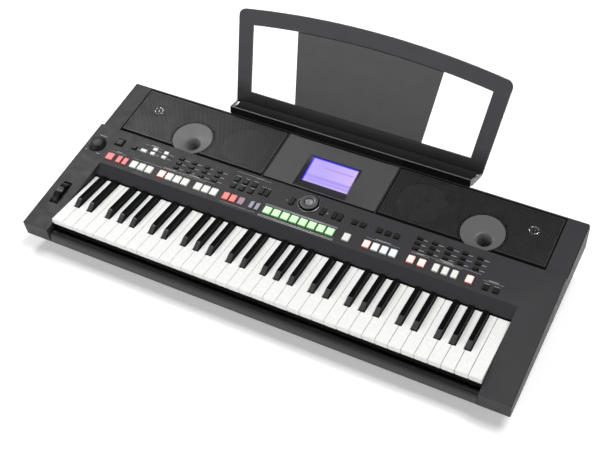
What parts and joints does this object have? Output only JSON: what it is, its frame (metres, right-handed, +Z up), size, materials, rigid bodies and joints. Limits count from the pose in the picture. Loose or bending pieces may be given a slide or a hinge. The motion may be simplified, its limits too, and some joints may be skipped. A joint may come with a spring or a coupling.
{
  "type": "arranger keyboard",
  "caption": "Portable electronic keyboard with a sloped control panel of lit buttons, a sunk display, speaker grilles and a lift-off music rest.",
  "frame": {"origin": "on the table, under the middle of the whole instrument's box", "axes": "+X from the bass end to the treble end, +Y away from the player, +Z up"},
  "size_m": [0.961, 0.5046, 0.3361],
  "materials": {
    "case_charcoal": "fine moulded texture",
    "rail_black": "satin",
    "grille_steel": "satin black over perforated sheet",
    "port_grey": "satin",
    "display_black": "satin",
    "display_glass": "clear window over a lit display",
    "display_cell": "backlit cell",
    "chassis_steel": "zinc plated",
    "board_green": "solder mask",
    "contact_rubber": "matt",
    "felt_red": "woven felt",
    "socket_black": "satin",
    "speaker_black": "paper cone in a dark frame",
    "control_metal": "plain",
    "trim_black": "gloss",
    "foot_rubber": "matt",
    "screw_steel": "black zinc",
    "rest_grey": "fine moulded texture",
    "knob_black": "satin",
    "dial_silver": "spun silver",
    "wheel_black": "satin with fine ribs",
    "key_ivory": "semi gloss",
    "key_ebony": "satin",
    "button_pink": "translucent, lit",
    "button_white": "translucent, lit",
    "button_red": "translucent, lit",
    "button_green": "translucent, lit",
    "button_black": "satin"
  },
  "bodies": {
    "root": {"upper_case": "case_charcoal", "lower_case": "case_charcoal", "front_rail": "rail_black", "grille_left": "grille_steel", "grille_right": "grille_steel", "port_ring_left": "port_grey", "port_ring_right": "port_grey", "display_panel": "display_black", "display_window": "display_glass", "display_module": "display_cell", "key_chassis": "chassis_steel", "key_contact_board": "board_green", "key_contact_strip": "contact_rubber", "key_stop_felt": "felt_red", "panel_boards": "board_green", "main_board": "board_green", "jack_board": "board_green", "rear_jacks": "socket_black", "power_inlet": "socket_black", "woofers": "speaker_black", "tweeters": "speaker_black", "volume_pot": "control_metal", "dial_ring": "trim_black", "dial_encoder": "control_metal", "pitch_wheel_cradle": "trim_black", "rubber_feet": "foot_rubber", "case_screws": "screw_steel"},
    "music_rest": {"music_rest": "rest_grey", "music_rest_insert": "rest_grey"},
    "volume_knob": {"volume_knob": "knob_black"},
    "data_dial": {"data_dial": "dial_silver"},
    "pitch_wheel": {"pitch_wheel": "wheel_black"},
    "key_c": {"key_c": "key_ivory"},
    "key_d": {"key_d": "key_ivory"},
    "key_e": {"key_e": "key_ivory"},
    "key_f": {"key_f": "key_ivory"},
    "key_g": {"key_g": "key_ivory"},
    "key_a": {"key_a": "key_ivory"},
    "key_b": {"key_b": "key_ivory"},
    "key_c_sharp": {"key_c_sharp": "key_ebony"},
    "key_d_sharp": {"key_d_sharp": "key_ebony"},
    "key_f_sharp": {"key_f_sharp": "key_ebony"},
    "key_g_sharp": {"key_g_sharp": "key_ebony"},
    "key_a_sharp": {"key_a_sharp": "key_ebony"},
    "white_keys_low": {"white_keys_low": "key_ivory"},
    "black_keys_low": {"black_keys_low": "key_ebony"},
    "white_keys_high": {"white_keys_high": "key_ivory"},
    "black_keys_high": {"black_keys_high": "key_ebony"},
    "start_buttons": {"start_buttons": "button_pink"},
    "style_buttons": {"style_buttons": "button_white"},
    "tempo_buttons": {"tempo_buttons": "button_red"},
    "memory_buttons": {"memory_buttons": "button_green"},
    "part_buttons": {"part_buttons": "button_white"},
    "octave_buttons": {"octave_buttons": "button_black"},
    "category_buttons": {"category_buttons": "button_black"},
    "menu_buttons": {"menu_buttons": "button_black"},
    "dial_buttons": {"dial_buttons": "button_black"},
    "song_buttons": {"song_buttons": "button_white"},
    "power_button": {"power_button": "button_black"}
  },
  "joints": [
    {"name": "key_c_press", "type": "hinge", "parent": "root", "child": "key_c", "pos_m": [0, -0.02928, 0.072], "axis": [1, 0, 0], "range_deg": [0, 2.79], "stiffness_Nm_per_rad": 2.5, "springref_deg": -2.86},
    {"name": "key_d_press", "type": "hinge", "parent": "root", "child": "key_d", "pos_m": [0, -0.02928, 0.072], "axis": [1, 0, 0], "range_deg": [0, 2.79], "stiffness_Nm_per_rad": 2.5, "springref_deg": -2.86},
    {"name": "key_e_press", "type": "hinge", "parent": "root", "child": "key_e", "pos_m": [0, -0.02928, 0.072], "axis": [1, 0, 0], "range_deg": [0, 2.79], "stiffness_Nm_per_rad": 2.5, "springref_deg": -2.86},
    {"name": "key_f_press", "type": "hinge", "parent": "root", "child": "key_f", "pos_m": [0, -0.02928, 0.072], "axis": [1, 0, 0], "range_deg": [0, 2.79], "stiffness_Nm_per_rad": 2.5, "springref_deg": -2.86},
    {"name": "key_g_press", "type": "hinge", "parent": "root", "child": "key_g", "pos_m": [0, -0.02928, 0.072], "axis": [1, 0, 0], "range_deg": [0, 2.79], "stiffness_Nm_per_rad": 2.5, "springref_deg": -2.86},
    {"name": "key_a_press", "type": "hinge", "parent": "root", "child": "key_a", "pos_m": [0, -0.02928, 0.072], "axis": [1, 0, 0], "range_deg": [0, 2.79], "stiffness_Nm_per_rad": 2.5, "springref_deg": -2.86},
    {"name": "key_b_press", "type": "hinge", "parent": "root", "child": "key_b", "pos_m": [0, -0.02928, 0.072], "axis": [1, 0, 0], "range_deg": [0, 2.79], "stiffness_Nm_per_rad": 2.5, "springref_deg": -2.86},
    {"name": "key_c_sharp_press", "type": "hinge", "parent": "root", "child": "key_c_sharp", "pos_m": [0, -0.02928, 0.072], "axis": [1, 0, 0], "range_deg": [0, 2.79], "stiffness_Nm_per_rad": 2.5, "springref_deg": -2.86},
    {"name": "key_d_sharp_press", "type": "hinge", "parent": "root", "child": "key_d_sharp", "pos_m": [0, -0.02928, 0.072], "axis": [1, 0, 0], "range_deg": [0, 2.79], "stiffness_Nm_per_rad": 2.5, "springref_deg": -2.86},
    {"name": "key_f_sharp_press", "type": "hinge", "parent": "root", "child": "key_f_sharp", "pos_m": [0, -0.02928, 0.072], "axis": [1, 0, 0], "range_deg": [0, 2.79], "stiffness_Nm_per_rad": 2.5, "springref_deg": -2.86},
    {"name": "key_g_sharp_press", "type": "hinge", "parent": "root", "child": "key_g_sharp", "pos_m": [0, -0.02928, 0.072], "axis": [1, 0, 0], "range_deg": [0, 2.79], "stiffness_Nm_per_rad": 2.5, "springref_deg": -2.86},
    {"name": "key_a_sharp_press", "type": "hinge", "parent": "root", "child": "key_a_sharp", "pos_m": [0, -0.02928, 0.072], "axis": [1, 0, 0], "range_deg": [0, 2.79], "stiffness_Nm_per_rad": 2.5, "springref_deg": -2.86},
    {"name": "white_keys_low_press", "type": "hinge", "parent": "root", "child": "white_keys_low", "pos_m": [0, -0.02928, 0.072], "axis": [1, 0, 0], "range_deg": [0, 2.79], "stiffness_Nm_per_rad": 35, "springref_deg": -2.86},
    {"name": "black_keys_low_press", "type": "hinge", "parent": "root", "child": "black_keys_low", "pos_m": [0, -0.02928, 0.072], "axis": [1, 0, 0], "range_deg": [0, 2.79], "stiffness_Nm_per_rad": 25, "springref_deg": -2.86},
    {"name": "white_keys_high_press", "type": "hinge", "parent": "root", "child": "white_keys_high", "pos_m": [0, -0.02928, 0.072], "axis": [1, 0, 0], "range_deg": [0, 2.79], "stiffness_Nm_per_rad": 37.5, "springref_deg": -2.86},
    {"name": "black_keys_high_press", "type": "hinge", "parent": "root", "child": "black_keys_high", "pos_m": [0, -0.02928, 0.072], "axis": [1, 0, 0], "range_deg": [0, 2.79], "stiffness_Nm_per_rad": 25, "springref_deg": -2.86},
    {"name": "start_buttons_press", "type": "slide", "parent": "root", "child": "start_buttons", "axis": [0, 0.1977, -0.9803], "range_m": [0, 0.0012], "stiffness_N_per_m": 900, "springref_m": -0.001},
    {"name": "style_buttons_press", "type": "slide", "parent": "root", "child": "style_buttons", "axis": [0, 0.1977, -0.9803], "range_m": [0, 0.0012], "stiffness_N_per_m": 3000, "springref_m": -0.001},
    {"name": "tempo_buttons_press", "type": "slide", "parent": "root", "child": "tempo_buttons", "axis": [0, 0.1977, -0.9803], "range_m": [0, 0.0012], "stiffness_N_per_m": 1500, "springref_m": -0.001},
    {"name": "memory_buttons_press", "type": "slide", "parent": "root", "child": "memory_buttons", "axis": [0, 0.1977, -0.9803], "range_m": [0, 0.0012], "stiffness_N_per_m": 2400, "springref_m": -0.001},
    {"name": "part_buttons_press", "type": "slide", "parent": "root", "child": "part_buttons", "axis": [0, 0.1977, -0.9803], "range_m": [0, 0.0012], "stiffness_N_per_m": 3300, "springref_m": -0.001},
    {"name": "octave_buttons_press", "type": "slide", "parent": "root", "child": "octave_buttons", "axis": [0, 0.1977, -0.9803], "range_m": [0, 0.0012], "stiffness_N_per_m": 600, "springref_m": -0.001},
    {"name": "category_buttons_press", "type": "slide", "parent": "root", "child": "category_buttons", "axis": [0, 0.1977, -0.9803], "range_m": [0, 0.0012], "stiffness_N_per_m": 8100, "springref_m": -0.001},
    {"name": "menu_buttons_press", "type": "slide", "parent": "root", "child": "menu_buttons", "axis": [0, 0.1977, -0.9803], "range_m": [0, 0.0012], "stiffness_N_per_m": 2400, "springref_m": -0.001},
    {"name": "dial_buttons_press", "type": "slide", "parent": "root", "child": "dial_buttons", "axis": [0, 0.1977, -0.9803], "range_m": [0, 0.0012], "stiffness_N_per_m": 2700, "springref_m": -0.001},
    {"name": "song_buttons_press", "type": "slide", "parent": "root", "child": "song_buttons", "axis": [0, 0.1977, -0.9803], "range_m": [0, 0.0012], "stiffness_N_per_m": 1800, "springref_m": -0.001},
    {"name": "power_button_press", "type": "slide", "parent": "root", "child": "power_button", "axis": [0, 0.1977, -0.9803], "range_m": [0, 0.0012], "stiffness_N_per_m": 300, "springref_m": -0.001},
    {"name": "volume_turn", "type": "hinge", "parent": "root", "child": "volume_knob", "pos_m": [-0.456, -0.03528, 0.10702], "axis": [0, -0.1977, 0.9803], "range_deg": [-150, 150]},
    {"name": "dial_turn", "type": "hinge", "parent": "root", "child": "data_dial", "pos_m": [0, -0.0093, 0.11226], "axis": [0, -0.1977, 0.9803], "continuous": true},
    {"name": "pitch_bend", "type": "hinge", "parent": "root", "child": "pitch_wheel", "pos_m": [-0.453, -0.16125, 0.06193], "axis": [1, 0, 0], "range_deg": [-35, 35], "stiffness_Nm_per_rad": 0.06},
    {"name": "rest_lift", "type": "slide", "parent": "root", "child": "music_rest", "axis": [0, 0, 1], "range_m": [0, 0.035]}
  ]
}
